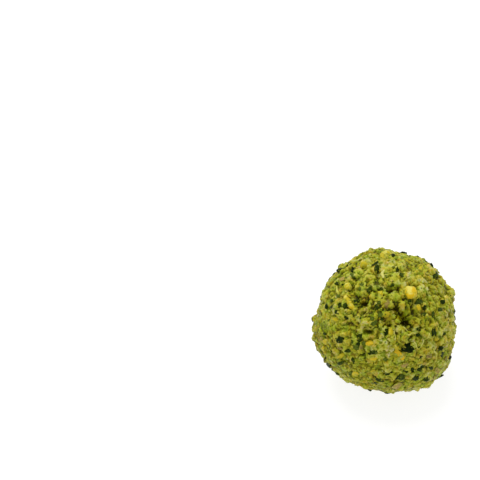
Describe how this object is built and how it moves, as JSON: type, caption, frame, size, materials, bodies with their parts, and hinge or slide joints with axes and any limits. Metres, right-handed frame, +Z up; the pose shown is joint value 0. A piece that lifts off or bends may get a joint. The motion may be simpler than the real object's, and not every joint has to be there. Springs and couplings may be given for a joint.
{
  "type": "falafel ball",
  "caption": "Round falafel ball with a torn, crumbly green surface, yellow kernels and dark leaf flakes, resting on a small flat spot.",
  "frame": {"origin": "on the floor under the middle of the ball's box, which is also the middle of its flat resting spot to within about 1 mm", "axes": "+Z up out of the resting spot, -Y towards the shown side, +X to the right as the shown side is seen"},
  "size_m": [0.0401, 0.04, 0.0386],
  "materials": {
    "crumb": "moist crumb of ground pulses and herbs, yellow-green, uneven",
    "kernel": "waxy yellow kernel bits, slightly translucent",
    "leaf": "dark green herb leaf, thin, slightly shiny",
    "skin": "tan seed and pulse skins, dry"
  },
  "bodies": {
    "root": {"falafel_ball": "crumb"}
  },
  "joints": []
}
